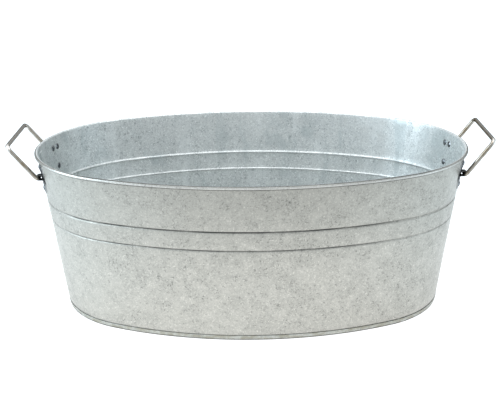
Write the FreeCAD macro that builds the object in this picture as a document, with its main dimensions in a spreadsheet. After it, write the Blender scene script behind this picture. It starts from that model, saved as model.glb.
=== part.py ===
import FreeCAD, Part
import math
import os

import Sketcher

# Oval galvanised steel ice tub with two wire bail handles.
# +X is the long axis (right end), -Y the front, +Z up. The origin is on the standing surface,
# at the centre of the oval. Millimetres and degrees.
#
# Sheet pieces are drawn as the centre line of the sheet in a leaning section frame: u points out
# of the wall, square to it, and v runs up the wall from the outer edge of the base.

DRIVING_SIZES = {
    "base_half_length": 258.5,
    "base_half_width": 159.5,
    "base_end_radius": 131.5,
    "wall_lean": 7.92,
    "wall_slant": 216.0,
    "sheet_gauge": 0.6,
    "rim_roll_radius": 2.0,
    "rim_roll_angle": 300.0,
    "rim_wire_radius": 1.65,
    "upper_groove_slant": 155.0,
    "upper_groove_depth": 1.3,
    "upper_groove_bend": 1.5,
    "lower_groove_slant": 129.2,
    "lower_groove_depth": 0.9,
    "lower_groove_bend": 1.3,
    "chime_slant": 6.8,
    "seam_clearance": 0.05,
    "joggle_rise": 1.6,
    "standing_flat": 0.12,
    "floor_height": 6.9,
    "floor_lip": 4.0,
    "floor_bend": 1.6,
    "seal_size": 2.2,
    "seal_clearance": 0.2,
    "lap_angle": 5.6,
    "lap_below_rim": 6.0,
    "ear_centre": 52.0,
    "ear_half_width": 12.0,
    "ear_corner": 3.0,
    "ear_top": 206.0,
    "ear_shoulder": 182.0,
    "ear_tail_centre": 172.5,
    "ear_tail_radius": 6.5,
    "ear_gauge": 0.8,
    "pivot_reach": 281.3,
    "pivot_height": 187.5,
    "tunnel_inner_end": 46.5,
    "tunnel_outer_end": 55.5,
    "tunnel_clearance": 0.05,
    "ear_window_margin": 2.0,
    "handle_wire_radius": 2.7,
    "handle_half_width": 60.0,
    "handle_reach": 57.4,
    "handle_foot_end": 45.0,
    "handle_foot_bend": 4.4,
    "handle_grip_bend": 7.0,
    "handle_tilt_right": 52.8,
    "handle_tilt_left": 49.8,
    "rivet_spread": 5.6,
    "rivet_upper_height": 199.5,
    "rivet_lower_height": 173.0,
    "rivet_shank_radius": 1.6,
    "rivet_head_radius": 4.2,
    "rivet_outer_crown": 1.6,
    "rivet_inner_crown": 1.3,
    "rivet_clearance": 0.02,
    "rivet_seat_gap": 0.06,
}

# Normals of the planes that halve the tub, front from rear and left from right.
FRONT = (0, 1, 0)
LEFT = (1, 0, 0)

# Sizes of cutters and blanks, larger than the piece that they shape.
TABLE = 800.0
DEEP = 10.0
EAR_BEHIND = 262.0
EAR_DEPTH = 40.0
EAR_CHEEK = 12.0
EAR_CONE_LOW = 150.0
EAR_CONE_HIGH = 212.0
RIVET_DRILL = 4.0

doc = FreeCAD.newDocument("IceTub")


class Size:
    """A number together with the spreadsheet expression that it follows."""

    def __init__(self, value, text):
        self.value = value
        self.text = text

    def __add__(self, other):
        other = as_size(other)
        return Size(self.value + other.value, f"({self.text} + {other.text})")

    def __sub__(self, other):
        other = as_size(other)
        return Size(self.value - other.value, f"({self.text} - {other.text})")

    def __rsub__(self, other):
        return as_size(other) - self

    def __mul__(self, other):
        other = as_size(other)
        return Size(self.value * other.value, f"({self.text} * {other.text})")

    def __rmul__(self, other):
        return as_size(other) * self

    def __truediv__(self, other):
        other = as_size(other)
        return Size(self.value / other.value, f"({self.text} / {other.text})")

    def __neg__(self):
        return Size(-self.value, f"(-1 * {self.text})")


def as_size(number):
    if isinstance(number, Size):
        return number
    return Size(float(number), f"({float(number):.6f})")


def sine(angle):
    return Size(math.sin(math.radians(angle.value)), f"sin({angle.text})")


def cosine(angle):
    return Size(math.cos(math.radians(angle.value)), f"cos({angle.text})")


def tangent(angle):
    return Size(math.tan(math.radians(angle.value)), f"tan({angle.text})")


def arc_cosine(ratio):
    return Size(math.degrees(math.acos(ratio.value)), f"(acos({ratio.text}) / 1 deg)")


def bind(item, prop, size):
    """Makes a property follow the sheet."""
    item.setExpression(prop, as_size(size).text)


def make_sheet():
    sheet = doc.addObject("Spreadsheet::Sheet", "Dims")
    for row, (alias, number) in enumerate(DRIVING_SIZES.items(), start=1):
        sheet.set(f"A{row}", alias.replace("_", " "))
        sheet.set(f"B{row}", str(number))
        sheet.setAlias(f"B{row}", alias)
    doc.recompute()
    return {alias: Size(float(sheet.get(alias)), f"Dims.{alias}") for alias in DRIVING_SIZES}


dims = make_sheet()
end_centre = dims["base_half_length"] - dims["base_end_radius"]
half_gauge = dims["sheet_gauge"] / 2
layer = dims["sheet_gauge"] + dims["seam_clearance"]
lean_sine = sine(dims["wall_lean"])
lean_cosine = cosine(dims["wall_lean"])
lean_tangent = tangent(dims["wall_lean"])


# ---------------------------------------------------------------- sketches

def pin_point(sketch, geometry, end, u, v):
    """Fixes one end of a sketch line or arc at (u, v)."""
    for kind, size in (("DistanceX", u), ("DistanceY", v)):
        size = as_size(size)
        number = sketch.addConstraint(Sketcher.Constraint(kind, -1, 1, geometry, end, size.value))
        sketch.setExpression(f"Constraints[{number}]", size.text)


def arc_between(start, finish, radius, turn, large):
    """A circular arc from start to finish. turn is 1 for anticlockwise travel, -1 for clockwise."""
    chord = finish - start
    reach = math.sqrt(max(radius ** 2 - (chord.Length / 2) ** 2, 0.0))
    side = FreeCAD.Vector(-chord.y, chord.x, 0).normalize()
    if large:
        reach = -reach
    centre = (start + finish) / 2 + side * (turn * reach)
    first, last = (start, finish) if turn > 0 else (finish, start)
    angles = [math.atan2(point.y - centre.y, point.x - centre.x) for point in (first, last)]
    if angles[1] < angles[0]:
        angles[1] += 2 * math.pi
    circle = Part.Circle(centre, FreeCAD.Vector(0, 0, 1), radius)
    return Part.ArcOfCircle(circle, angles[0], angles[1])


def draw_chain(sketch, start, steps, closed=False):
    """Draws joined lines and arcs, each vertex pinned to the sheet.

    A step is (u, v) for a line to that point, or (u, v, radius, turn) for an arc to it, with
    turn 1 anticlockwise or -1 clockwise. A fifth value True asks for the arc over 180 degrees.
    """
    here = start
    previous = None
    for step in steps:
        u, v = as_size(step[0]), as_size(step[1])
        first = FreeCAD.Vector(as_size(here[0]).value, as_size(here[1]).value, 0)
        last = FreeCAD.Vector(u.value, v.value, 0)
        if len(step) == 2:
            geometry = sketch.addGeometry(Part.LineSegment(first, last), False)
            ends = (1, 2)
        else:
            radius, turn = as_size(step[2]), step[3]
            large = len(step) > 4
            shape = arc_between(first, last, radius.value, turn, large)
            geometry = sketch.addGeometry(shape, False)
            number = sketch.addConstraint(Sketcher.Constraint("Radius", geometry, radius.value))
            sketch.setExpression(f"Constraints[{number}]", radius.text)
            ends = (1, 2) if turn > 0 else (2, 1)
        if previous is None:
            origin = (geometry, ends[0])
            pin_point(sketch, geometry, ends[0], here[0], here[1])
        else:
            joint = Sketcher.Constraint("Coincident", previous[0], previous[1], geometry, ends[0])
            sketch.addConstraint(joint)
        previous = (geometry, ends[1])
        here = (u, v)
        if closed and step is steps[-1]:
            joint = Sketcher.Constraint("Coincident", geometry, ends[1], origin[0], origin[1])
            sketch.addConstraint(joint)
        else:
            pin_point(sketch, geometry, ends[1], u, v)


def new_sketch(name):
    return doc.addObject("Sketcher::SketchObject", name)


def placement_text(x, y, z, turns):
    """The expression of a placement: a base point and rotations about axes, last turn first."""
    base = f"create(<<vector>>; {as_size(x).text}; {as_size(y).text}; {as_size(z).text})"
    factors = []
    for axis, angle in turns:
        direction = "; ".join(str(part) for part in axis)
        factors.append(f"create(<<rotation>>; create(<<vector>>; {direction}); {as_size(angle).text})")
    return f"create(<<placement>>; {base}; {' * '.join(factors)})"


def section_sketch(name, start, steps, closed=False):
    """A sketch in the leaning section frame at the right-hand end of the oval."""
    sketch = new_sketch(name)
    turns = [((0, 1, 0), dims["wall_lean"]), ((1, 0, 0), 90)]
    sketch.setExpression("Placement", placement_text(dims["base_half_length"], 0, 0, turns))
    draw_chain(sketch, start, steps, closed)
    return sketch


def side_arc():
    """The radius of the oval's side arcs, and the angle at which the end arcs meet them."""
    width, end = dims["base_half_width"], dims["base_end_radius"]
    side = (end_centre * end_centre + width * width - end * end) / (2 * (width - end))
    return side, math.atan2(side.value - width.value, end_centre.value)


def oval_path():
    """The rear half of the base oval: end arc, side arc, end arc, all tangent."""
    sketch = new_sketch("rear_half_oval")
    centre, width, end = end_centre, dims["base_half_width"], dims["base_end_radius"]
    side, meet = side_arc()
    up = FreeCAD.Vector(0, 0, 1)
    end_circle = Part.Circle(FreeCAD.Vector(centre.value, 0, 0), up, end.value)
    side_circle = Part.Circle(FreeCAD.Vector(0, width.value - side.value, 0), up, side.value)
    far_circle = Part.Circle(FreeCAD.Vector(-centre.value, 0, 0), up, end.value)
    right = sketch.addGeometry(Part.ArcOfCircle(end_circle, 0, meet), False)
    rear = sketch.addGeometry(Part.ArcOfCircle(side_circle, meet, math.pi - meet), False)
    left = sketch.addGeometry(Part.ArcOfCircle(far_circle, math.pi - meet, math.pi), False)
    x_axis, y_axis = -1, -2
    for item, tip in ((right, 1), (left, 2)):
        sketch.addConstraint(Sketcher.Constraint("PointOnObject", item, 3, x_axis))
        sketch.addConstraint(Sketcher.Constraint("PointOnObject", item, tip, x_axis))
    sketch.addConstraint(Sketcher.Constraint("PointOnObject", rear, 3, y_axis))
    sketch.addConstraint(Sketcher.Constraint("Tangent", right, 2, rear, 1))
    sketch.addConstraint(Sketcher.Constraint("Tangent", rear, 2, left, 1))
    sketch.addConstraint(Sketcher.Constraint("Equal", right, left))
    for item, radius in ((right, end), (rear, side)):
        number = sketch.addConstraint(Sketcher.Constraint("Radius", item, radius.value))
        sketch.setExpression(f"Constraints[{number}]", radius.text)
    number = sketch.addConstraint(Sketcher.Constraint("DistanceX", -1, 1, right, 3, centre.value))
    sketch.setExpression(f"Constraints[{number}]", centre.text)
    return sketch


def closed_oval(name, inset, height):
    """The whole base oval, moved inwards by the inset and drawn at this height."""
    sketch = new_sketch(name)
    sketch.setExpression("Placement", placement_text(0, 0, height, [((0, 0, 1), 0)]))
    side, meet = side_arc()
    end_radius = dims["base_end_radius"] - inset
    side_radius = side - inset
    drop = dims["base_half_width"] - side
    up = FreeCAD.Vector(0, 0, 1)
    arcs = []
    for x, y, radius, first, last in (
        (end_centre.value, 0, end_radius.value, -meet, meet),
        (0, drop.value, side_radius.value, meet, math.pi - meet),
        (-end_centre.value, 0, end_radius.value, math.pi - meet, math.pi + meet),
        (0, -drop.value, side_radius.value, math.pi + meet, 2 * math.pi - meet),
    ):
        circle = Part.Circle(FreeCAD.Vector(x, y, 0), up, radius)
        arcs.append(sketch.addGeometry(Part.ArcOfCircle(circle, first, last), False))
    right, rear, left, front = arcs
    for item, axis in ((right, -1), (left, -1), (rear, -2)):
        sketch.addConstraint(Sketcher.Constraint("PointOnObject", item, 3, axis))
    for item, following in ((right, rear), (rear, left), (left, front), (front, right)):
        sketch.addConstraint(Sketcher.Constraint("Tangent", item, 2, following, 1))
    sizes = (
        (Sketcher.Constraint("Radius", right, end_radius.value), end_radius),
        (Sketcher.Constraint("Radius", left, end_radius.value), end_radius),
        (Sketcher.Constraint("Radius", rear, side_radius.value), side_radius),
        (Sketcher.Constraint("DistanceX", -1, 1, right, 3, end_centre.value), end_centre),
    )
    for constraint, size in sizes:
        number = sketch.addConstraint(constraint)
        sketch.setExpression(f"Constraints[{number}]", size.text)
    return sketch


# ---------------------------------------------------------------- shared operations

def offset_outline(name, source, distance, closed_round, filled=False):
    """A parallel of a sketch's line, or the closed outline at that distance all round it."""
    outline = doc.addObject("Part::Offset2D", name)
    outline.Source = source
    bind(outline, "Value", distance)
    outline.Mode = "Pipe" if closed_round else "Skin"
    outline.Join = "Arc"
    outline.Fill = filled
    return outline


def half_sweep(name, section):
    """The section carried round the rear half of the oval."""
    path = doc.getObject("rear_half_oval")
    sweep = doc.addObject("Part::Sweep", name)
    sweep.Sections = [section]
    sweep.Spine = (path, ["Edge1", "Edge2", "Edge3"])
    sweep.Solid = True
    sweep.Frenet = False
    return sweep


def mirror(name, source, normal):
    copy = doc.addObject("Part::Mirroring", name)
    copy.Source = source
    copy.Normal = FreeCAD.Vector(*normal)
    return copy


def fuse(name, parts):
    union = doc.addObject("Part::MultiFuse", name)
    union.Shapes = parts
    union.Refine = False
    return union


def cut(name, base, tool):
    result = doc.addObject("Part::Cut", name)
    result.Base = base
    result.Tool = tool
    result.Refine = False
    return result


def box(name, corner, extent):
    block = doc.addObject("Part::Box", name)
    for prop, size in zip(("Length", "Width", "Height"), extent):
        bind(block, prop, size)
    block.setExpression("Placement", placement_text(*corner, [((0, 0, 1), 0)]))
    return block


def cylinder_along_y(name, corner, radius, length):
    rod = doc.addObject("Part::Cylinder", name)
    bind(rod, "Radius", radius)
    bind(rod, "Height", length)
    rod.setExpression("Placement", placement_text(*corner, [((1, 0, 0), -90)]))
    return rod


# ---------------------------------------------------------------- walls

def groove_steps(level, depth, bend):
    """A rolled-in groove of three equal arcs, from its lower lip to its upper lip."""
    angle = arc_cosine(1 - depth / (2 * bend))
    quarter = bend * sine(angle)
    outside = -half_gauge
    middle = outside - depth / 2
    return [
        (outside, level - 2 * quarter),
        (middle, level - quarter, bend, 1),
        (middle, level + quarter, bend, -1),
        (outside, level + 2 * quarter, bend, 1),
    ]


def wall_steps():
    """The sheet from its lower edge, through the joggle and both grooves, to the rim's tangent."""
    inside = -half_gauge - layer
    steps = [
        (inside, dims["chime_slant"]),
        (-half_gauge, dims["chime_slant"] + dims["joggle_rise"]),
    ]
    steps += groove_steps(
        dims["lower_groove_slant"], dims["lower_groove_depth"], dims["lower_groove_bend"]
    )
    steps += groove_steps(
        dims["upper_groove_slant"], dims["upper_groove_depth"], dims["upper_groove_bend"]
    )
    return steps


def rim_roll_step():
    """The rim rolled outwards and down over its wire."""
    radius, angle = dims["rim_roll_radius"], dims["rim_roll_angle"]
    end_u = radius - half_gauge - radius * cosine(angle)
    end_v = dims["wall_slant"] + radius * sine(angle)
    return (end_u, end_v, radius, -1, True)


def make_wall_sheet():
    lower_edge = (-half_gauge - layer, dims["seam_clearance"] + 2 * dims["sheet_gauge"])
    steps = wall_steps() + [(-half_gauge, dims["wall_slant"]), rim_roll_step()]
    line = section_sketch("wall_centre_line", lower_edge, steps)
    outline = offset_outline("wall_outline", line, half_gauge, True)
    return half_sweep("rear_half_sheet", outline)


def make_lap():
    """The strip that laps behind the butt joint at the right-hand end, just inside the sheet."""
    start = (-half_gauge, dims["chime_slant"] + dims["joggle_rise"] + 2 * dims["seal_size"])
    grooves = wall_steps()[2:]
    top = dims["wall_slant"] - dims["lap_below_rim"]
    line = section_sketch("lap_line", start, grooves + [(-half_gauge, top)])
    inner = offset_outline("lap_inner_line", line, dims["sheet_gauge"], False)
    outline = offset_outline("lap_outline", inner, half_gauge, True, filled=True)
    turned = doc.addObject("Part::Revolution", "lap_right")
    turned.Source = outline
    turned.Axis = FreeCAD.Vector(0, 0, 1)
    bind(turned, "Base.x", end_centre)
    bind(turned, "Angle", dims["lap_angle"])
    turned.Symmetric = True
    turned.Solid = True
    return turned


def make_walls(rivet_holes):
    """Two half shells that butt at both ends of the oval; the rear one carries the lap strips."""
    rear_sheet = make_wall_sheet()
    lap_right = make_lap()
    lap_left = mirror("lap_left", lap_right, LEFT)
    front_sheet = mirror("front_half_sheet", rear_sheet, FRONT)
    rear_shell = fuse("rear_shell", [rear_sheet, lap_right, lap_left])
    return [
        cut("wall_front", front_sheet, rivet_holes),
        cut("wall_rear", rear_shell, rivet_holes),
    ]


# ---------------------------------------------------------------- rim wire and bottom

def make_ring(name, section):
    """A section carried all round the oval, as two half sweeps joined end to end."""
    rear = half_sweep(f"{name}_rear_half", section)
    front = mirror(f"{name}_front_half", rear, FRONT)
    return fuse(name, [rear, front])


def circle_section(name, u, v, radius):
    """A round section centred at (u, v) in the leaning frame."""
    sketch = section_sketch(name, None, [])
    up = FreeCAD.Vector(0, 0, 1)
    centre = FreeCAD.Vector(as_size(u).value, as_size(v).value, 0)
    ring = sketch.addGeometry(Part.Circle(centre, up, radius.value), False)
    pin_point(sketch, ring, 3, u, v)
    number = sketch.addConstraint(Sketcher.Constraint("Radius", ring, radius.value))
    sketch.setExpression(f"Constraints[{number}]", radius.text)
    return sketch


def make_rim_wire():
    centre_u = dims["rim_roll_radius"] - half_gauge
    section = circle_section(
        "rim_wire_section", centre_u, dims["wall_slant"], dims["rim_wire_radius"]
    )
    return make_ring("rim_wire", section)


def level_at(u, height):
    """The v of a point in the leaning section frame that lies at this height."""
    return (height + u * lean_sine) / lean_cosine


def make_bottom_pan():
    """A recessed floor whose flange is folded up outside the wall as the chime."""
    inner = -half_gauge - 2 * layer
    bend = dims["floor_bend"]
    fold_height = half_gauge + layer - dims["standing_flat"]
    fold = level_at(-half_gauge - layer, fold_height)
    rise = level_at(inner - bend, dims["floor_height"] - bend)
    lip = (inner - bend - bend * lean_sine, rise + bend * lean_cosine)
    reach = dims["floor_lip"]
    steps = [
        (-half_gauge, fold),
        (-half_gauge - layer, fold - layer, layer, -1),
        (inner, fold, layer, -1),
        (inner, rise),
        (lip[0], lip[1], bend, 1),
        (lip[0] - reach * lean_cosine, lip[1] - reach * lean_sine),
    ]
    start = (-half_gauge, dims["chime_slant"] - half_gauge)
    line = section_sketch("chime_line", start, steps)
    ring = make_ring("chime", offset_outline("chime_outline", line, half_gauge, True))
    inset = (-inner + bend + reach / 2) * lean_cosine
    plate = doc.addObject("Part::Extrusion", "floor_plate")
    plate.Base = closed_oval("floor_outline", inset, dims["floor_height"] - half_gauge)
    plate.DirMode = "Normal"
    bind(plate, "LengthFwd", dims["sheet_gauge"])
    plate.Solid = True
    below = box(
        "under_the_table",
        (-TABLE / 2, -TABLE / 2, -DEEP),
        (TABLE, TABLE, DEEP),
    )
    return cut("bottom_pan", fuse("folded_pan", [ring, plate]), below)


def make_bottom_seal():
    """The fillet of sealant in the inside corner between the wall and the floor."""
    wall = -dims["sheet_gauge"] - dims["seam_clearance"]
    corner = -half_gauge - layer - half_gauge - 2 * dims["seam_clearance"]
    foot = corner - dims["seal_size"]
    floor_top = dims["floor_height"] + half_gauge + dims["seam_clearance"]
    gap = dims["seal_clearance"]
    shoulder = dims["chime_slant"] + dims["joggle_rise"] + gap
    steps = [
        (wall, shoulder),
        (corner, dims["chime_slant"] + 2 * gap),
        (foot, level_at(foot, floor_top)),
        (wall, shoulder + dims["seal_size"]),
    ]
    start = (wall, shoulder + dims["seal_size"])
    return make_ring("bottom_seal", section_sketch("seal_section", start, steps, closed=True))


# ---------------------------------------------------------------- ears and rivets

def side_outline(name, start, steps):
    """A closed outline drawn in the plane that faces the right-hand end: Y across, Z up."""
    sketch = new_sketch(name)
    turns = [((0, 0, 1), 90), ((1, 0, 0), 90)]
    sketch.setExpression("Placement", placement_text(EAR_BEHIND, 0, 0, turns))
    draw_chain(sketch, start, steps, closed=True)
    return sketch


def end_cone(name, standoff):
    """The cone of the right-hand end of the wall, moved outwards by the standoff."""
    low, high = EAR_CONE_LOW, EAR_CONE_HIGH
    cone = doc.addObject("Part::Cone", name)
    across = dims["base_end_radius"] + as_size(standoff) / lean_cosine
    bind(cone, "Radius1", across + low * lean_tangent)
    bind(cone, "Radius2", across + high * lean_tangent)
    bind(cone, "Height", as_size(high - low))
    cone.setExpression("Placement", placement_text(end_centre, 0, low, [((0, 0, 1), 0)]))
    return cone


def make_ear(rivet_holes):
    """A shield-shaped plate on the wall, with a strap pressed out over the handle's foot."""
    centre, half = dims["ear_centre"], dims["ear_half_width"]
    corner, top = dims["ear_corner"], dims["ear_top"]
    shoulder, tail = dims["ear_shoulder"], dims["ear_tail_radius"]
    tail_height = dims["ear_tail_centre"]
    near, far = centre - half, centre + half
    steps = [
        (far, top - corner),
        (far - corner, top, corner, 1),
        (near + corner, top),
        (near, top - corner, corner, 1),
        (near, shoulder),
        (centre - tail, tail_height),
        (centre, tail_height - tail, tail, 1),
        (centre + tail, tail_height, tail, 1),
        (far, shoulder),
    ]
    blank = doc.addObject("Part::Extrusion", "ear_blank")
    blank.Base = side_outline("ear_outline", (far, shoulder), steps)
    blank.DirMode = "Normal"
    bind(blank, "LengthFwd", EAR_DEPTH)
    blank.Solid = True
    plate = doc.addObject("Part::MultiCommon", "ear_plate")
    plate.Shapes = [blank, end_cone("ear_outer_cone", dims["ear_gauge"])]
    bore = dims["handle_wire_radius"] + dims["tunnel_clearance"]
    outside = bore + dims["ear_gauge"]
    reach, height = dims["pivot_reach"], dims["pivot_height"]
    start, length = dims["tunnel_inner_end"], dims["tunnel_outer_end"] - dims["tunnel_inner_end"]
    strap = cylinder_along_y("ear_strap", (reach, start, height), outside, length)
    cheeks = box(
        "ear_cheeks",
        (reach - EAR_CHEEK, start, height - outside),
        (EAR_CHEEK, length, 2 * outside),
    )
    margin = dims["ear_window_margin"]
    window = length + 2 * margin
    tunnel = cylinder_along_y("ear_tunnel", (reach, start - margin, height), bore, window)
    throat = box(
        "ear_throat",
        (reach - EAR_CHEEK, start - margin, height - bore),
        (EAR_CHEEK, window, 2 * bore),
    )
    body = fuse("ear_body", [plate, strap, cheeks])
    voids = fuse("ear_voids", [end_cone("ear_inner_cone", 0), tunnel, throat, rivet_holes])
    return cut("ear_right_rear", body, voids)


def rivet_places():
    """Where the rivets of the right rear ear cross the wall: (y, height) of each."""
    centre, spread = dims["ear_centre"].value, dims["rivet_spread"].value
    upper, lower = dims["rivet_upper_height"].value, dims["rivet_lower_height"].value
    return [(centre - spread, upper), (centre + spread, upper), (centre, lower)]


def rivet_placement(y, height):
    """The frame of a rivet: its origin on the wall's outer surface, its Z square to the wall."""
    lean = dims["wall_lean"].value
    radius = dims["base_end_radius"].value + height * math.tan(math.radians(lean))
    round_end = math.degrees(math.asin(y / radius))
    base = FreeCAD.Vector(end_centre.value + math.sqrt(radius ** 2 - y ** 2), y, height)
    turn = FreeCAD.Rotation(FreeCAD.Vector(0, 0, 1), round_end)
    tip = FreeCAD.Rotation(FreeCAD.Vector(0, 1, 0), 90 + lean)
    return FreeCAD.Placement(base, turn.multiply(tip))


def make_rivet_pattern():
    """One rivet on its own axis: a domed head outside, a shank, and a flatter set head inside."""
    head, shank = dims["rivet_head_radius"], dims["rivet_shank_radius"]
    outer_seat = dims["ear_gauge"] + dims["rivet_seat_gap"] / 2
    inner_seat = -dims["sheet_gauge"] - dims["rivet_seat_gap"]
    outer_crown, inner_crown = dims["rivet_outer_crown"], dims["rivet_inner_crown"]
    steps = [
        (0, outer_seat + outer_crown),
        (head, outer_seat, dome_radius(head, outer_crown), -1),
        (shank, outer_seat),
        (shank, inner_seat),
        (head, inner_seat),
        (0, inner_seat - inner_crown, dome_radius(head, inner_crown), -1),
    ]
    section = new_sketch("rivet_section")
    section.setExpression("Placement", placement_text(0, 0, 0, [((1, 0, 0), 90)]))
    draw_chain(section, (0, inner_seat - inner_crown), steps, closed=True)
    rivet = doc.addObject("Part::Revolution", "rivet_pattern")
    rivet.Source = section
    rivet.Axis = FreeCAD.Vector(0, 0, 1)
    rivet.Angle = 360
    rivet.Solid = True
    doc.recompute()
    return rivet


def dome_radius(across, height):
    """The sphere radius of a cap this far across and this high."""
    return (across * across + height * height) / (2 * height)


def make_rivets():
    """The three rivets of the right rear ear, one node of separate solids."""
    pattern = make_rivet_pattern()
    rivets = []
    for y, height in rivet_places():
        rivet = pattern.Shape.copy()
        rivet.Placement = rivet_placement(y, height)
        rivets.append(rivet)
    group = doc.addObject("Part::Feature", "rivets_right_rear")
    group.Shape = Part.Compound(rivets)
    return group


def make_rivet_holes():
    """Cutters for the rivet holes of the right rear ear and the wall behind it."""
    radius = dims["rivet_shank_radius"].value + dims["rivet_clearance"].value
    drills = []
    for y, height in rivet_places():
        drill = Part.makeCylinder(radius, 2 * RIVET_DRILL, FreeCAD.Vector(0, 0, -RIVET_DRILL))
        drill.Placement = rivet_placement(y, height)
        drills.append(drill)
    group = doc.addObject("Part::Feature", "rivet_holes_right_rear")
    group.Shape = Part.Compound(drills)
    return group


def four_corners(source, name):
    """The piece and its three mirror images, one for each corner of the tub."""
    right_front = mirror(f"{name}_right_front", source, FRONT)
    left_rear = mirror(f"{name}_left_rear", source, LEFT)
    left_front = mirror(f"{name}_left_front", right_front, LEFT)
    return [source, right_front, left_rear, left_front]


# ---------------------------------------------------------------- handles

def origin_plane(body, role):
    return [item for item in body.Origin.OriginFeatures if item.Role == role][0]


def make_handle(name, side, tilt):
    """A wire bail in one plane: foot, leg, grip, leg, foot. Its hinge line is the local X axis.

    side is 1 for the right-hand end and -1 for the left. tilt is measured up from level.
    """
    body = doc.addObject("PartDesign::Body", name)
    half, reach = dims["handle_half_width"], dims["handle_reach"]
    foot_bend, grip_bend = dims["handle_foot_bend"], dims["handle_grip_bend"]
    route = body.newObject("Sketcher::SketchObject", f"{name}_route")
    route.AttachmentSupport = [(origin_plane(body, "XY_Plane"), "")]
    route.MapMode = "FlatFace"
    steps = [
        (half - foot_bend, 0),
        (half, foot_bend, foot_bend, 1),
        (half, reach - grip_bend),
        (half - grip_bend, reach, grip_bend, 1),
        (-half + grip_bend, reach),
        (-half, reach - grip_bend, grip_bend, 1),
        (-half, foot_bend),
        (-half + foot_bend, 0, foot_bend, 1),
        (-dims["handle_foot_end"], 0),
    ]
    draw_chain(route, (dims["handle_foot_end"], 0), steps)
    section = body.newObject("Sketcher::SketchObject", f"{name}_section")
    section.AttachmentSupport = [(origin_plane(body, "YZ_Plane"), "")]
    section.MapMode = "FlatFace"
    section.setExpression(
        "AttachmentOffset", placement_text(0, 0, dims["handle_foot_end"], [((0, 0, 1), 0)])
    )
    up = FreeCAD.Vector(0, 0, 1)
    radius = dims["handle_wire_radius"]
    ring = section.addGeometry(Part.Circle(FreeCAD.Vector(0, 0, 0), up, radius.value), False)
    section.addConstraint(Sketcher.Constraint("Coincident", ring, 3, -1, 1))
    number = section.addConstraint(Sketcher.Constraint("Radius", ring, radius.value))
    section.setExpression(f"Constraints[{number}]", radius.text)
    wire = body.newObject("PartDesign::AdditivePipe", f"{name}_wire")
    wire.Profile = section
    wire.Spine = route
    body.Tip = wire
    turns = [((0, 0, 1), -90 * side), ((1, 0, 0), tilt)]
    place = placement_text(side * dims["pivot_reach"], 0, dims["pivot_height"], turns)
    body.setExpression("Placement", place)
    return body


# ---------------------------------------------------------------- the tub

def label_nodes(items):
    for item in items:
        item.Label = item.Name
    return {item.Label: item for item in items}


def check_document(nodes):
    for item in doc.Objects:
        if "Invalid" in item.State or "Error" in item.State:
            raise RuntimeError(f"{item.Name} failed: {item.State}")
    for name, item in nodes.items():
        if item.Shape.isNull() or not item.Shape.isValid():
            raise RuntimeError(f"{name} has no valid shape")


def build():
    oval_path()
    right_rear_holes = make_rivet_holes()
    rivet_holes = fuse("rivet_holes", four_corners(right_rear_holes, "rivet_holes"))
    ears = four_corners(make_ear(right_rear_holes), "ear")
    rivets = four_corners(make_rivets(), "rivets")
    pieces = make_walls(rivet_holes)
    pieces += [make_rim_wire(), make_bottom_pan(), make_bottom_seal()]
    pieces += ears + rivets
    pieces.append(make_handle("handle_right", 1, dims["handle_tilt_right"]))
    pieces.append(make_handle("handle_left", -1, dims["handle_tilt_left"]))
    doc.recompute()
    nodes = label_nodes(pieces)
    check_document(nodes)
    return nodes


def export(nodes):
    os.makedirs("parts", exist_ok=True)
    for name, item in nodes.items():
        item.Shape.exportStep(f"parts/{name}.step")


export(build())
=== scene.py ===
import math

import bpy
import numpy as np
from mathutils import Matrix, Vector, noise


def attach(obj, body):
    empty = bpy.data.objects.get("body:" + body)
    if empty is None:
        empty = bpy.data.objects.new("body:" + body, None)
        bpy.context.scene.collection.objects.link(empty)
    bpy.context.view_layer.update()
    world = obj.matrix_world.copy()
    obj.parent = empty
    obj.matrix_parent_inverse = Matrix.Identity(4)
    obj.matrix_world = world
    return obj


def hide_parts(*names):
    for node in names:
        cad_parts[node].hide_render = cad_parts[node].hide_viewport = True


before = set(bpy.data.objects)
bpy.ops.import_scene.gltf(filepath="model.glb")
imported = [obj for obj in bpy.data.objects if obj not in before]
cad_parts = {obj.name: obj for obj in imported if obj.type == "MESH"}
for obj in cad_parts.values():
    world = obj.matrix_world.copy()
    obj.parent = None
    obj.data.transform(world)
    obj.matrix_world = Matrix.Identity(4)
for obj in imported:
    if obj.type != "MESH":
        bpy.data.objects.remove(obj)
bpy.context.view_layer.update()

# Oval galvanised ice tub. +X is the right-hand end, -Y the front, +Z up. Working sizes are in
# millimetres, and a mesh is scaled to metres when it is made. The wall is drawn in a section
# that leans with it: u points outward, square to the sheet, and v runs up the slant.
MM = 0.001
MIRROR_Y = np.array([1, -1, 1, -1])

# The base oval, four arcs that meet smoothly.
HALF_LENGTH = 258.5
HALF_WIDTH = 159.5
END_RADIUS = 131.5
END_CENTRE = HALF_LENGTH - END_RADIUS
SIDE_RADIUS = ((END_CENTRE ** 2 + HALF_WIDTH ** 2 - END_RADIUS ** 2)
               / (2 * (HALF_WIDTH - END_RADIUS)))
MEET = math.atan2(SIDE_RADIUS - HALF_WIDTH, END_CENTRE)

# The sheet wall. A groove is its level up the slant, its depth and the radius of its bends.
LEAN = math.radians(7.92)
GAUGE = 0.6
HALF_GAUGE = GAUGE / 2
LAYER = GAUGE + 0.05
WALL_FOOT = 1.25
WALL_SLANT = 216.0
UPPER_GROOVE = (155.0, 1.3, 1.5)
LOWER_GROOVE = (129.2, 0.9, 1.3)
GROOVE_ROWS = 5
WALL_ROW_SPACING = 6.0
WALL_STATION_SPACING = 2.4

# The rolled rim: rows of points in the roll, how many of them face inward, and the gap that
# each half shell leaves at the end joints.
RIM_RADIUS = 2.0
RIM_ROWS = 26
RIM_INNER_ROWS = 8
RIM_GAP = 0.7

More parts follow.
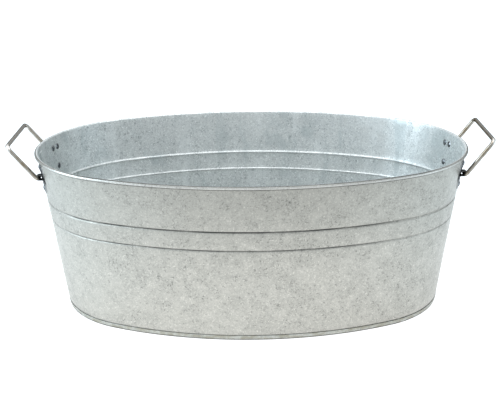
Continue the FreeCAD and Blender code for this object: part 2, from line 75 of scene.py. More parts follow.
# The strip behind each end joint: its distance from the chime and the rim, its step inward
# and half the angle that it covers, in degrees.
LAP_MARGIN = 6.0
LAP_STEP = GAUGE + 0.01
LAP_ANGLE = 2.8
LAP_STATIONS = 9

# The bottom pan: the height where its flange ends, the wall's step above it, the floor's
# height and bend, how much the fold is flattened where it stands, and the floor's rings.
CHIME_TOP = 6.8
CHIME_STEP = 1.6
FLOOR_HEIGHT = 6.9
FLOOR_BEND = 1.6
FOOT_FLAT = 0.12
PAN_ROW_SPACING = 0.9
PAN_STATION_SPACING = 1.6
FLOOR_SHARES = np.linspace(0.965, 0.08, 26)
FLOOR_BOW = 0.35

# The handles: the hinge line's (x, z), and the wire bent round it. The tilts are from level.
PIVOT = (281.3, 187.5)
WIRE_RADIUS = 2.7
WIRE_SHRINK = 0.02
WIRE_SIDES = 28
BAIL_SPACING = 1.6
FOOT_END = 45.0
BAIL_HALF_WIDTH = 60.0
BAIL_REACH = 57.4
FOOT_BEND = 4.4
GRIP_BEND = 7.0
RIGHT_TILT = 52.8
LEFT_TILT = 49.8


# ---------------------------------------------------------------- meshes

def make_mesh(name, points, faces):
    """A smooth-shaded mesh object from points in millimetres."""
    mesh = bpy.data.meshes.new(name)
    mesh.from_pydata((np.asarray(points, float) * MM).tolist(), [], faces)
    mesh.validate()
    mesh.update()
    mesh.shade_smooth()
    item = bpy.data.objects.new(name, mesh)
    bpy.context.scene.collection.objects.link(item)
    return item


def oval_stations(spacing, whole=True):
    """Points of the base oval with their outward directions, about this far apart.

    They are rows of (x, y, nx, ny), starting at the right-hand end: the rear half, and after it
    the front half, its mirror image, where the whole oval is wanted.
    """
    arcs = [
        (END_CENTRE, 0.0, END_RADIUS, 0.0, MEET),
        (0.0, HALF_WIDTH - SIDE_RADIUS, SIDE_RADIUS, MEET, math.pi - MEET),
        (-END_CENTRE, 0.0, END_RADIUS, math.pi - MEET, math.pi),
    ]
    rows = []
    for x, y, radius, first, last in arcs:
        count = max(2, int(math.ceil(radius * (last - first) / spacing)))
        for step in range(count):
            angle = first + (last - first) * step / count
            rows.append((x + radius * math.cos(angle), y + radius * math.sin(angle),
                         math.cos(angle), math.sin(angle)))
    rows.append((-HALF_LENGTH, 0.0, -1.0, 0.0))
    rear = np.array(rows)
    if not whole:
        return rear
    return np.concatenate([rear, rear[1:-1][::-1] * MIRROR_Y])


def section_to_wall(profile):
    """Turns (u, v) of the leaning section into (outward distance, height)."""
    profile = np.asarray(profile, float)
    outward = profile[:, 0] * math.cos(LEAN) + profile[:, 1] * math.sin(LEAN)
    height = profile[:, 1] * math.cos(LEAN) - profile[:, 0] * math.sin(LEAN)
    return np.stack([outward, height], -1)


def arc_points(centre, radius, first, last, count):
    """Points of an arc between two angles in degrees, ends included."""
    angles = np.radians(np.linspace(first, last, count))
    return [(centre[0] + radius * math.cos(a), centre[1] + radius * math.sin(a)) for a in angles]


def groove_points(level, depth, bend):
    """The rolled-in groove: three arcs, from its lower lip to its upper lip."""
    swing = math.degrees(math.acos(1 - depth / (2 * bend)))
    quarter = bend * math.sin(math.radians(swing))
    u = -HALF_GAUGE
    lower = arc_points((u - bend, level - 2 * quarter), bend, 0, swing, GROOVE_ROWS)
    middle = arc_points((u - depth + bend, level), bend, 180 + swing, 180 - swing,
                        2 * GROOVE_ROWS)
    upper = arc_points((u - bend, level + 2 * quarter), bend, -swing, 0, GROOVE_ROWS)
    return lower + middle + upper


def straight(first, last, spacing):
    """Points between two points, without the ends."""
    first, last = np.array(first, float), np.array(last, float)
    count = max(1, int(np.linalg.norm(last - first) / spacing))
    return [tuple(first + (last - first) * step / count) for step in range(1, count)]


def join_runs(runs, spacing):
    """One polyline through runs of points, with the straight stretches between them divided."""
    line = list(runs[0])
    for run in runs[1:]:
        line += straight(line[-1], run[0], spacing) + list(run)
    return np.array(line)


def directions(line):
    """The unit direction of a line at each of its points."""
    step = np.gradient(line, axis=0)
    return step / np.linalg.norm(step, axis=1)[:, None]


def outer_side(line):
    """Unit directions square to a section line, on the outer side of one that runs up."""
    step = directions(line)
    return np.stack([step[:, 1], -step[:, 0]], -1)


def thicken(line):
    """The closed outline of a sheet from its middle line: outer side up, inner side down."""
    side = outer_side(line) * HALF_GAUGE
    return np.concatenate([line + side, (line - side)[::-1]])


def sweep_points(stations, outline, shift=None):
    """Carries an outline of (outward, height) round the stations, one ring of points to each."""
    rings = []
    for station in stations:
        x, y, nx, ny = station
        section = outline if shift is None else outline + shift(station, outline)
        rings.append(np.stack(
            [x + nx * section[:, 0], y + ny * section[:, 0], section[:, 1]], -1))
    return np.concatenate(rings)


def sweep_quads(total, count, closed):
    """Quads between neighbouring rings, for this many rings of this many points."""
    faces = []
    for i in range(total if closed else total - 1):
        here, there = i * count, ((i + 1) % total) * count
        for j in range(count):
            k = (j + 1) % count
            faces.append((here + j, there + j, there + k, here + k))
    return faces


def sweep_sheet(stations, outline, shift=None):
    """Carries a sheet's outline round part of the oval, with a cap at each end."""
    count, total = len(outline), len(stations)
    faces = sweep_quads(total, count, False)
    for base, turned in ((0, False), ((total - 1) * count, True)):
        for j in range(count // 2 - 1):
            quad = (base + j, base + j + 1, base + count - 2 - j, base + count - 1 - j)
            faces.append(quad[::-1] if turned else quad)
    return sweep_points(stations, outline, shift), faces


def inward_faces(ring, inner, turned):
    """Quads from one ring of points to the next one in, or triangles to a single point."""
    faces = []
    for i in range(len(ring)):
        k = (i + 1) % len(ring)
        if isinstance(inner, int):
            face = (ring[i], inner, ring[k])
        else:
            face = (ring[i], inner[i], inner[k], ring[k])
        faces.append(face[::-1] if turned else face)
    return faces


def fractal(x, y, z, scale, seed):
    """Smooth noise about zero, one feature about scale millimetres across."""
    place = Vector((x / scale + seed, y / scale - seed, z / scale + 0.37 * seed))
    return noise.fractal(place, 1.0, 2.0, 2, noise_basis="PERLIN_ORIGINAL")


def ease(value, low, high):
    t = min(max((value - low) / (high - low), 0.0), 1.0)
    return t * t * (3 - 2 * t)


# ---------------------------------------------------------------- walls

def wall_centre_line():
    """The middle of the sheet from its foot inside the pan's fold to the end of the rim roll."""
    inside = -HALF_GAUGE - LAYER
    runs = [
        [(inside, WALL_FOOT)],
        [(inside, CHIME_TOP), (-HALF_GAUGE, CHIME_TOP + CHIME_STEP)],
        groove_points(*LOWER_GROOVE),
        groove_points(*UPPER_GROOVE),
        arc_points((RIM_RADIUS - HALF_GAUGE, WALL_SLANT), RIM_RADIUS, 180, -120, RIM_ROWS),
    ]
    return join_runs(runs, WALL_ROW_SPACING)


def wall_wave(station, outline):
    """Slight waviness of the sheet, none at the base or the rim."""
    x, y = station[:2]
    move = np.zeros_like(outline)
    for row, (_, height) in enumerate(outline):
        free = ease(height, 12, 60) * (1 - ease(height, 165, 200))
        if free > 0:
            broad, fine = fractal(x, y, height, 95.0, 3.1), fractal(x, y, height, 34.0, 7.7)
            move[row, 0] = free * (broad * 0.5 + fine * 0.12)
    return move


def make_wall(name, front):
    """A half shell. Its material 0 is the wall, 1 the inside and 2 the bead of the rim."""
    stations = oval_stations(WALL_STATION_SPACING, whole=False)
    if front:
        stations = stations[::-1] * MIRROR_Y
    outline = section_to_wall(thicken(wall_centre_line()))
    points, faces = sweep_sheet(stations, outline, wall_wave)
    count, half = len(outline), len(outline) // 2
    for end in (0, len(stations) - 1):
        for column in range(half - RIM_ROWS, half + RIM_ROWS):
            points[end * count + column][1] += -RIM_GAP if front else RIM_GAP
    wall = make_mesh(name, points, faces)
    for face in wall.data.polygons:
        column = min(vertex % count for vertex in face.vertices)
        if column >= half + RIM_ROWS - RIM_INNER_ROWS:
            face.material_index = 1
        elif column >= half:
            face.material_index = 2
    return wall


def make_lap_strip(name, side):
    """The strip behind the joint at one end, seen inside the tub."""
    line = wall_centre_line()
    low, high = CHIME_TOP + LAP_MARGIN, WALL_SLANT - LAP_MARGIN
    line = line[(line[:, 1] > low) & (line[:, 1] < high) & (line[:, 0] < 0)]
    line = np.concatenate([line, [(-HALF_GAUGE, high)]])
    outline = section_to_wall(thicken(line - outer_side(line) * LAP_STEP))
    angles = np.radians(np.linspace(-LAP_ANGLE, LAP_ANGLE, LAP_STATIONS))
    stations = np.array([
        (side * (END_CENTRE + END_RADIUS * math.cos(a)), END_RADIUS * math.sin(a) * side,
         side * math.cos(a), side * math.sin(a)) for a in angles
    ])
    return make_mesh(name, *sweep_sheet(stations, outline))


wall_front = make_wall("shell_front", True)
wall_rear = make_wall("shell_rear", False)
lap_right = make_lap_strip("lap_strip_right", 1)
lap_left = make_lap_strip("lap_strip_left", -1)


# ---------------------------------------------------------------- bottom pan

def level_at(u, height):
    """How far up the slant a point at this u has this height."""
    return (height + u * math.sin(LEAN)) / math.cos(LEAN)


def pan_centre_line():
    """From the free edge of the folded flange, round the bottom fold, to the floor's lip."""
    middle = -HALF_GAUGE - LAYER
    inner = -HALF_GAUGE - 2 * LAYER
    fold = level_at(middle, HALF_GAUGE + LAYER - FOOT_FLAT)
    rise = level_at(inner - FLOOR_BEND, FLOOR_HEIGHT - FLOOR_BEND)
    runs = [
        [(-HALF_GAUGE, CHIME_TOP - HALF_GAUGE)],
        arc_points((middle, fold), LAYER, 0, -180, 13),
        arc_points((inner - FLOOR_BEND, rise), FLOOR_BEND, 0, 90 + math.degrees(LEAN), 9),
    ]
    return join_runs(runs, PAN_ROW_SPACING)


def chime_wave(station, outline):
    """The crimp of the folded flange: puckers on the round ends, fainter along the sides."""
    x, y, nx, ny = station
    move = np.zeros_like(outline)
    round_end = 0.35 + 0.65 * ease(abs(nx), 0.3, 0.75)
    for row, (outward, height) in enumerate(outline):
        depth = height * math.sin(LEAN) - outward * math.cos(LEAN)
        free = ease(height, -0.2, 1.4) * (1 - ease(height, 5.6, 6.7))
        if free > 0 and depth <= 0.1:
            lean = height * 1.2
            pucker = fractal(x + lean * ny, y - lean * nx, height * 0.4, 9.0, 11.0)
            move[row, 0] = free * round_end * min(max(pucker * 1.15, -0.38), 0.62)
    return move


def make_pan():
    """The pan. Its material 0 is the folded flange and 1 the floor, above and below."""
    outline = section_to_wall(thicken(pan_centre_line()))
    outline[:, 1] = np.maximum(outline[:, 1], 0.0)
    stations = oval_stations(PAN_STATION_SPACING)
    count, half, total = len(outline), len(outline) // 2, len(stations)
    points = list(sweep_points(stations, outline, chime_wave))
    faces = [face for face in sweep_quads(total, count, True) if face[0] % count != half - 1]
    flange_faces = len(faces)
    for column, turned in ((half - 1, True), (half, False)):
        ring = [i * count + column for i in range(total)]
        lip = [points[i] for i in ring]
        for share in FLOOR_SHARES:
            fresh = list(range(len(points), len(points) + total))
            for x, y, z in lip:
                px, py = x * share, y * share
                bow = FLOOR_BOW * (1 - share ** 4) * fractal(px, py, 0, 120.0, 5.0)
                points.append(np.array((px, py, z + bow)))
            faces += inward_faces(ring, fresh, turned)
            ring = fresh
        faces += inward_faces(ring, len(points), turned)
        points.append(np.mean([points[i] for i in ring], axis=0))
    plate = make_mesh("pan", points, faces)
    for face in plate.data.polygons[flange_faces:]:
        face.material_index = 1
    return plate


pan = make_pan()


# ---------------------------------------------------------------- handles

def bail_route():
    """The bail's middle line in its own plane: along the hinge line, and away from it."""
    runs = [
        [(FOOT_END, 0.0)],
        arc_points((BAIL_HALF_WIDTH - FOOT_BEND, FOOT_BEND), FOOT_BEND, -90, 0, 9),
        arc_points((BAIL_HALF_WIDTH - GRIP_BEND, BAIL_REACH - GRIP_BEND), GRIP_BEND, 0, 90, 11),
        [(0.0, BAIL_REACH)],
    ]
    right = join_runs(runs, BAIL_SPACING)
    return np.concatenate([right, right[:-1][::-1] * np.array([-1, 1])])


def make_bail(name, side, tilt):
    """A handle of round wire with eased ends, where side is 1 at the right-hand end."""
    route = bail_route()
    tilt = math.radians(tilt)
    line = np.stack([
        side * (PIVOT[0] + route[:, 1] * math.cos(tilt)),
        -side * route[:, 0],
        PIVOT[1] + route[:, 1] * math.sin(tilt),
    ], -1)
    step = directions(line)
    square = np.array([-side * math.sin(tilt), 0.0, math.cos(tilt)])
    total = len(line)
    points = []
    for i in range(total):
        across = np.cross(step[i], square)
        nick = min(0.03 * fractal(*line[i], 6.0, 2.0 + side), 0.0)
        for k in range(WIRE_SIDES):
            angle = 2 * math.pi * k / WIRE_SIDES
            spoke = math.cos(angle) * square + math.sin(angle) * across
            points.append(line[i] + (WIRE_RADIUS - WIRE_SHRINK + nick) * spoke)
    faces = [(a, d, c, b) for a, b, c, d in sweep_quads(total, WIRE_SIDES, False)]
    for end, inward, turned in ((0, step[0], False), (total - 1, -step[-1], True)):
        outer = [end * WIRE_SIDES + k for k in range(WIRE_SIDES)]
        ring = outer
        for share, proud in ((0.93, 0.25), (0.55, 0.3)):
            fresh = list(range(len(points), len(points) + WIRE_SIDES))
            for index in outer:
                spoke = points[index] - line[end]
                points.append(line[end] + spoke * share - inward * proud)
            faces += inward_faces(ring, fresh, turned)
            ring = fresh
        faces += inward_faces(ring, len(points), turned)
        points.append(line[end] - inward * 0.3)
    return make_mesh(name, points, faces)


bail_right = make_bail("bail_right", 1, RIGHT_TILT)
bail_left = make_bail("bail_left", -1, LEFT_TILT)


# ---------------------------------------------------------------- materials

class Nodes:
    """A small helper for building a node tree."""

    def __init__(self, tree, coordinates):
        self.tree = tree
        self.place = self.add("ShaderNodeTexCoord").outputs[coordinates]

    def add(self, kind, **values):
        node = self.tree.nodes.new(kind)
        for key, value in values.items():
            setattr(node, key, value)
        return node

    def link(self, source, target):
        self.tree.links.new(source, target)

    def along(self, axis):
        """The coordinate along this axis."""
        node = self.add("ShaderNodeSeparateXYZ")
        self.link(self.place, node.inputs[0])
        return node.outputs[axis]

    def off_centre(self):
        """The distance from the middle, left or right."""
        return self.math("ABSOLUTE", self.along("X"))

    def ramp(self, source, low, high, start=0.0, finish=1.0, interpolation="SMOOTHSTEP"):
        """Start where the source is low or less, and finish where it is high or more."""
        node = self.add("ShaderNodeMapRange", interpolation_type=interpolation)
        for name, value in (("From Min", low), ("From Max", high),
                            ("To Min", start), ("To Max", finish)):
            node.inputs[name].default_value = value
        self.link(source, node.inputs["Value"])
        return node.outputs[0]

    def math(self, operation, first, second=0.0):
        node = self.add("ShaderNodeMath", operation=operation)
        for socket, value in zip(node.inputs, (first, second)):
            if isinstance(value, (int, float)):
                socket.default_value = value
            else:
                self.link(value, socket)
        return node.outputs[0]

    def blend(self, factor, first, second):
        """The first colour at factor 0, the second at 1."""
        node = self.add("ShaderNodeMix", data_type="RGBA")
        self.link(factor, node.inputs[0])
        for socket, value in ((node.inputs[6], first), (node.inputs[7], second)):
            if isinstance(value, tuple):
                socket.default_value = (*value, 1.0)
            else:
                self.link(value, socket)
        return node.outputs[2]


class Finish(Nodes):
    """A material with one shader, in the object's own coordinates, which are in metres."""

    def __init__(self, name):
        self.material = bpy.data.materials.new(name)
        self.material.use_nodes = True
        self.material.node_tree.nodes.clear()
        super().__init__(self.material.node_tree, "Object")
        self.shader = self.add("ShaderNodeBsdfPrincipled")
        self.link(self.shader.outputs[0],
                  self.add("ShaderNodeOutputMaterial").inputs["Surface"])

    def stretch(self, scale, turn=(0, 0, 0)):
        node = self.add("ShaderNodeMapping")
        node.inputs["Scale"].default_value = scale
        node.inputs["Rotation"].default_value = turn
        self.link(self.place, node.inputs["Vector"])
        return node.outputs[0]

    def noise(self, size_mm, detail=3.0, rough=0.55, vector=None, distortion=0.0):
        """Noise with features about this many millimetres across, 0 to 1."""
        node = self.add("ShaderNodeTexNoise")
        node.inputs["Scale"].default_value = 1000.0 / size_mm
        node.inputs["Detail"].default_value = detail
        node.inputs["Roughness"].default_value = rough
        node.inputs["Distortion"].default_value = distortion
        self.link(vector or self.place, node.inputs["Vector"])
        return node.outputs["Fac"]

    def crystals(self, size_mm):
        """Random levels, one to each crystal about this many millimetres across."""
        cells = self.add("ShaderNodeTexVoronoi")
        cells.inputs["Scale"].default_value = 1000.0 / size_mm
        self.link(self.place, cells.inputs["Vector"])
        split = self.add("ShaderNodeSeparateColor")
        self.link(cells.outputs["Color"], split.inputs[0])
        return split.outputs[0], split.outputs[1]

    def bump(self, height, strength, distance_mm, previous=None):
        node = self.add("ShaderNodeBump")
        node.inputs["Strength"].default_value = strength
        node.inputs["Distance"].default_value = distance_mm * MM
        self.link(height, node.inputs["Height"])
        if previous is not None:
            self.link(previous, node.inputs["Normal"])
        return node.outputs[0]

    def band(self, level_mm, half_mm):
        """1 at this height, falling to 0 this far above and below it."""
        away = self.math("ABSOLUTE", self.math("SUBTRACT", self.along("Z"), level_mm * MM))
        return self.ramp(away, 0.0, half_mm * MM, 1.0, 0.0)


def galvanised(name, pale, dark, metallic=0.85, rough=(0.38, 0.5), contrast=1.0, edge=1.0,
               extra=None):
    """Hot-dipped zinc: fine frosted spangle, clustered dark specks and faint cloudy patches.

    The roughness lies in the range of rough, edge is the metal's brightness at a grazing angle,
    and extra adds what is particular to one piece.
    """
    m = Finish(name)
    clouds = m.noise(70.0, 3.0, 0.6)
    patches = m.noise(16.0, 3.0, 0.6, distortion=0.5)
    flecks = m.noise(2.7, 3.0, 0.8, distortion=0.8)
    frost = m.noise(1.9, 2.0, 0.75, m.stretch((1, 1, 1), (0.7, 0.4, 1.1)), 0.4)
    facet, facet_height = m.crystals(3.6)
    broad = m.math("ADD", m.math("MULTIPLY", clouds, 0.5), m.math("MULTIPLY", patches, 0.5))
    cluster = m.ramp(broad, 0.4, 0.62, 0.45, 1.0)
    specks = m.math("MULTIPLY", m.ramp(flecks, 0.5, 0.72), cluster)
    blotches = m.ramp(m.noise(8.0, 3.0, 0.7, distortion=1.2), 0.56, 0.68, 0.0, 0.18 * contrast)
    middle = tuple(0.72 * a + 0.28 * b for a, b in zip(pale, dark))
    bright = tuple(min(1.0, a * 1.38) for a in pale)
    tone = m.blend(m.ramp(broad, 0.36, 0.64, 0.0, 0.55 * contrast), pale, middle)
    tone = m.blend(m.ramp(frost, 0.5, 0.7, 0.0, 0.8 * contrast), tone, bright)
    tone = m.blend(m.ramp(facet, 0.0, 1.0, 0.0, 0.3 * contrast), tone, middle)
    tone = m.blend(m.math("MULTIPLY", specks, 0.9 * contrast), tone, dark)
    tone = m.blend(m.math("MULTIPLY", blotches, cluster), tone, dark)
    if extra:
        tone = extra(m, tone)
    m.link(tone, m.shader.inputs["Base Color"])
    m.shader.inputs["Metallic"].default_value = metallic
    m.shader.inputs["Specular Tint"].default_value = (edge, edge, edge, 1.0)
    m.link(m.math("ADD", m.ramp(patches, 0.3, 0.75, *rough), m.math("MULTIPLY", specks, 0.12)),
           m.shader.inputs["Roughness"])
    lumps = m.bump(m.noise(26.0, 2.0, 0.5), 0.25, 0.5)
    grain = m.math("ADD", m.math("MULTIPLY", flecks, 0.5), m.math("MULTIPLY", facet_height, 0.3))
    m.link(m.bump(grain, 0.4, 0.12, lumps), m.shader.inputs["Normal"])
    return m.material


def ends_fade(m):
    """1 over the long sides, falling towards the round ends, sooner at the right-hand one."""
    left = m.ramp(m.along("X"), -0.262, -0.215, 0.15, 1.0)
    return m.math("MULTIPLY", left, m.ramp(m.along("X"), 0.12, 0.215, 1.0, 0.1))


def strap_shadow_on_wall(m):
    """Painted shadow on the wall under the strap of each ear."""
    mirrored = m.add("ShaderNodeVectorMath", operation="ABSOLUTE")
    m.link(m.place, mirrored.inputs[0])
    away = m.add("ShaderNodeVectorMath", operation="DISTANCE")
    away.inputs[1].default_value = (0.279, 0.052, 0.186)
    m.link(mirrored.outputs[0], away.inputs[0])
    return m.ramp(away.outputs["Value"], 0.007, 0.013, 0.92, 0.0)


def groove_shade_line(m, groove, half_mm):
    """A painted shade line at one groove, just above its middle."""
    return m.band(groove[0] * math.cos(LEAN) + 0.3, half_mm)


def wall_painted_shade(m, tone):
    """Painted shade in the two grooves, under the bead of the rim and the straps, and as a
    slightly duller upper wall.
    """
    grooves = m.math("MAXIMUM", groove_shade_line(m, UPPER_GROOVE, 2.1),
                     m.math("MULTIPLY", groove_shade_line(m, LOWER_GROOVE, 1.8), 0.9))
    patchy = m.ramp(m.noise(42.0, 2.0, 0.5), 0.34, 0.62, 0.62, 1.0)
    grooves = m.math("MULTIPLY", m.math("MULTIPLY", grooves, patchy), ends_fade(m))
    # Painted shade under the bead of the rim.
    under_bead = m.math("MULTIPLY", m.band(211.4, 2.0), 0.95)
    lines = m.math("MAXIMUM", m.math("MAXIMUM", grooves, under_bead), strap_shadow_on_wall(m))
    # Painted shade: the wall darkens towards the rim.
    tone = m.blend(m.ramp(m.along("Z"), 0.06, 0.205, 0.0, 0.18), tone, (0.17, 0.175, 0.155))
    return m.blend(lines, tone, (0.05, 0.052, 0.05))


def bead_painted_shade(m, tone):
    """Painted shade along the crest of the rim and where the roll turns under."""
    crest, under_bead = m.band(216.3, 2.7), m.band(211.2, 2.9)
    sides = m.ramp(m.off_centre(), 0.2, 0.28, 1.0, 0.4)
    lines = m.math("MULTIPLY", m.math("MAXIMUM", crest, under_bead), sides)
    return m.blend(lines, tone, (0.03, 0.032, 0.03))


def inside_painted_reflections(m, tone):
    """Broad vertical runs of brighter and bluer zinc down the inside, painted reflections."""
    runs = m.noise(36.0, 4.0, 0.6, m.stretch((1, 1, 0.3)), 0.8)
    tone = m.blend(m.ramp(runs, 0.5, 0.7, 0.0, 0.4), tone, (0.84, 0.87, 0.865))
    return m.blend(m.ramp(runs, 0.5, 0.34, 0.0, 0.4), tone, (0.42, 0.48, 0.485))


def strap_painted_shadow(m, tone):
    """The strap round the handle's foot, darkened by painted shadow."""
    painted_dark = m.math("MULTIPLY", m.band(PIVOT[1] - 1.0, 12.0), 0.97)
    return m.blend(painted_dark, tone, (0.025, 0.027, 0.03))


def rivet_painted_reflection(m, tone):
    """Painted dark reflections that mottle the heads."""
    painted_dark = m.ramp(m.noise(3.2, 2.0, 0.6), 0.42, 0.58, 0.1, 0.85)
    return m.blend(painted_dark, tone, (0.05, 0.055, 0.06))


def chime_seam_and_foot_shade(m, tone):
    """Grime at the seam where the flange ends, painted shade along the folded edge at the foot,
    and a duller, warmer band between the lines.
    """
    towards_ends = m.ramp(m.off_centre(), 0.06, 0.2, 0.5, 0.95)
    seam = m.math("MULTIPLY", m.band(6.6, 0.9), towards_ends)
    # Painted shade along the foot, where the fold meets the floor.
    foot = m.band(0.2, 2.2)
    smear = m.ramp(m.noise(11.0, 3.0, 0.65, m.stretch((1, 1, 2.5))), 0.4, 0.62, 0.0, 0.75)
    tone = m.blend(smear, tone, (0.30, 0.285, 0.225))
    return m.blend(m.math("MAXIMUM", seam, foot), tone, (0.06, 0.06, 0.055))


def wire_material(name):
    """Plated wire with brown streaks, much paler along the grip."""
    m = Finish(name)
    streak = m.noise(9.0, 4.0, 0.6, m.stretch((1, 0.12, 1)))
    stain = m.noise(14.0, 3.0, 0.6)
    grip = m.ramp(m.off_centre(), 0.3125, 0.3155, 0.0, 0.7)
    tone = m.blend(m.ramp(stain, 0.35, 0.68), (0.38, 0.355, 0.315), (0.27, 0.225, 0.165))
    tone = m.blend(m.ramp(streak, 0.52, 0.75, 0.0, 0.4), tone, (0.16, 0.135, 0.10))
    tone = m.blend(grip, tone, (0.80, 0.78, 0.75))
    m.link(tone, m.shader.inputs["Base Color"])
    m.shader.inputs["Metallic"].default_value = 1.0
    m.shader.inputs["Specular Tint"].default_value = (0.14, 0.13, 0.115, 1.0)
    m.link(m.ramp(streak, 0.3, 0.7, 0.1, 0.24), m.shader.inputs["Roughness"])
    m.link(m.bump(streak, 0.15, 0.1), m.shader.inputs["Normal"])
    return m.material


def sealant_material(name):
    """Grey sealant, lumpy from the finger that smoothed it."""
    m = Finish(name)
    lump = m.noise(5.0, 3.0, 0.6)
    tone = m.blend(m.ramp(lump, 0.3, 0.7), (0.40, 0.41, 0.41), (0.27, 0.28, 0.28))
    m.link(tone, m.shader.inputs["Base Color"])
    m.link(m.ramp(lump, 0.3, 0.7, 0.45, 0.62), m.shader.inputs["Roughness"])
    m.link(m.bump(lump, 0.6, 0.5), m.shader.inputs["Normal"])
    return m.material


# The wall's colour carries painted shade in its grooves, under its bead, under the ear straps and
# towards the rim.
wall_zinc = galvanised("zinc_wall", (0.487, 0.479, 0.44), (0.16, 0.163, 0.152),
                       contrast=1.15, extra=wall_painted_shade)
# The bead's colour carries painted shade along its crest and under its roll.
bead_zinc = galvanised("zinc_bead", (0.74, 0.74, 0.70), (0.32, 0.32, 0.305), metallic=0.95,
                       rough=(0.26, 0.38), edge=0.3, extra=bead_painted_shade)
# The inside's colour carries painted reflections in broad vertical streaks.
inside_zinc = galvanised("zinc_inside", (0.70, 0.725, 0.715), (0.25, 0.28, 0.285),
                         rough=(0.36, 0.5), contrast=1.4, extra=inside_painted_reflections)
# The pan's colour carries painted shade along its foot.
pan_zinc = galvanised("zinc_pan", (0.47, 0.48, 0.45), (0.22, 0.23, 0.21), extra=chime_seam_and_foot_shade)
floor_zinc = galvanised("zinc_floor", (0.40, 0.415, 0.41), (0.2, 0.21, 0.21), contrast=1.2)
# The ears' colour carries painted shadow round the handle's foot.
ear_zinc = galvanised("zinc_ear", (0.46, 0.48, 0.48), (0.18, 0.19, 0.19), metallic=0.95,
                      rough=(0.24, 0.36), edge=0.25, extra=strap_painted_shadow)
# The rivets' colour carries painted dark reflections.
rivet_zinc = galvanised("zinc_rivet", (0.36, 0.375, 0.385), (0.13, 0.14, 0.15), metallic=1.0,
                        rough=(0.16, 0.28), edge=0.4, extra=rivet_painted_reflection)
rim_steel = galvanised("rim_steel", (0.40, 0.41, 0.42), (0.2, 0.2, 0.2), metallic=0.95)
sealant = sealant_material("sealant")
bail_wire = wire_material("bail_wire")


# ---------------------------------------------------------------- bodies and finishes

def finish_piece(piece, body, materials, replaced=()):
    for material in materials:
        piece.data.materials.append(material)
    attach(piece, body)
    if replaced:
        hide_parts(*replaced)


shell_finish = [wall_zinc, inside_zinc, bead_zinc]
finish_piece(wall_front, "tub", shell_finish, ["wall_front"])
finish_piece(wall_rear, "tub", shell_finish, ["wall_rear"])
finish_piece(lap_right, "tub", [inside_zinc])
finish_piece(lap_left, "tub", [inside_zinc])
finish_piece(pan, "tub", [pan_zinc, floor_zinc], ["bottom_pan"])
finish_piece(bail_right, "right_bail", [bail_wire], ["handle_right"])
finish_piece(bail_left, "left_bail", [bail_wire], ["handle_left"])

node_finish = {"rim_wire": rim_steel, "bottom_seal": sealant}
for corner in ("right_rear", "right_front", "left_rear", "left_front"):
    node_finish[f"ear_{corner}"] = ear_zinc
    node_finish[f"rivets_{corner}"] = rivet_zinc
for node, material in node_finish.items():
    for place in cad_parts[node].material_slots:
        place.material = material


# ---------------------------------------------------------------- floor, light and camera

def make_floor():
    """A pale floor just under the tub, whose glow grows behind it and to the sides."""
    reach, gap = 30.0, 0.0002
    mesh = bpy.data.meshes.new("floor")
    corners = [(-reach, -reach, 0), (reach, -reach, 0), (reach, reach, 0), (-reach, reach, 0)]
    mesh.from_pydata(corners, [], [(0, 1, 2, 3)])
    floor = bpy.data.objects.new("floor", mesh)
    floor.location.z = -gap
    bpy.context.scene.collection.objects.link(floor)
    paper = bpy.data.materials.new("paper")
    paper.use_nodes = True
    shader = paper.node_tree.nodes["Principled BSDF"]
    shader.inputs["Base Color"].default_value = (0.42, 0.42, 0.42, 1)
    shader.inputs["Roughness"].default_value = 0.8
    m = Nodes(paper.node_tree, "Object")
    behind = m.ramp(m.along("Y"), -0.74, -0.24, 0.0, 0.84)
    far_front = m.ramp(m.along("Y"), -2.6, -1.3, 0.7, 0.0)
    sides = m.ramp(m.off_centre(), 1.0, 2.0, 0.0, 0.7)
    glow = m.math("MAXIMUM", m.math("MAXIMUM", behind, far_front), sides)
    cool = m.ramp(m.off_centre(), 0.16, 0.6, interpolation="LINEAR")
    m.link(glow, shader.inputs["Emission Strength"])
    m.link(m.blend(cool, (1, 1, 1), (0.76, 0.90, 1.0)), shader.inputs["Emission Color"])
    mesh.materials.append(paper)


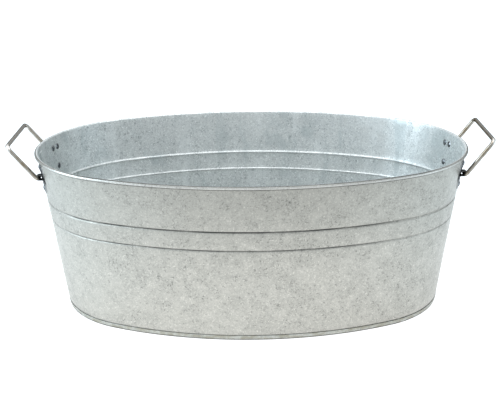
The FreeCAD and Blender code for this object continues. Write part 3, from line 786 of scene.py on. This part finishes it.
def soft_light(name, place, target, size, power, colour=(1, 1, 1)):
    data = bpy.data.lights.new(name, "AREA")
    data.shape = "RECTANGLE"
    data.size, data.size_y = size
    data.energy = power
    data.color = colour
    light = bpy.data.objects.new(name, data)
    light.location = place
    light.rotation_euler = (Vector(target) - Vector(place)).to_track_quat("-Z", "Y").to_euler()
    bpy.context.scene.collection.objects.link(light)


def make_world():
    """A cool white room, brighter overhead and a little dimmer to the right."""
    world = bpy.data.worlds.new("studio")
    bpy.context.scene.world = world
    world.use_nodes = True
    sky = world.node_tree.nodes["Background"]
    sky.inputs["Color"].default_value = (0.93, 0.97, 1.0, 1)
    m = Nodes(world.node_tree, "Generated")
    overhead = m.ramp(m.along("Z"), -0.05, 0.7, 0.55, 1.3)
    right = m.ramp(m.along("X"), 0.2, 1.0, 1.0, 0.72)
    m.link(m.math("MULTIPLY", overhead, right), sky.inputs["Strength"])


def make_camera():
    """The camera. Its distances are in units of half the rim's length."""
    unit = 0.29225
    azimuth, elevation, roll = -0.0021, 0.3282, -0.0095
    distance, target = 4.8317 * unit, Vector((-0.0084 * unit, 0.0, 0.4434 * unit))
    focal, image_width, sensor_width = 1017.5, 500, 36.0
    back = Vector((math.sin(azimuth) * math.cos(elevation),
                   -math.cos(azimuth) * math.cos(elevation), math.sin(elevation)))
    right = (-back).cross(Vector((0, 0, 1))).normalized()
    up = right.cross(-back)
    tilted = math.cos(roll) * right + math.sin(roll) * up
    upward = math.cos(roll) * up - math.sin(roll) * right
    data = bpy.data.cameras.new("camera")
    data.sensor_width = sensor_width
    data.lens = focal / image_width * sensor_width
    camera = bpy.data.objects.new("camera", data)
    turn = Matrix((tilted, upward, back)).transposed().to_4x4()
    camera.matrix_world = Matrix.Translation(target + distance * back) @ turn
    bpy.context.scene.collection.objects.link(camera)
    bpy.context.scene.camera = camera


SIDE_LIGHT = (0.74, 0.89, 1.0)
make_floor()
make_world()
soft_light("softbox_top", (0.0, -0.3, 2.2), (0, 0, 0.1), (2.4, 1.8), 20)
soft_light("softbox_left", (-2.1, -0.5, 0.9), (0, 0, 0.12), (1.6, 1.8), 34, SIDE_LIGHT)
soft_light("softbox_right", (2.1, -0.5, 0.9), (0, 0, 0.12), (1.6, 1.8), 5, SIDE_LIGHT)
make_camera()
bpy.context.scene.view_settings.view_transform = "Standard"
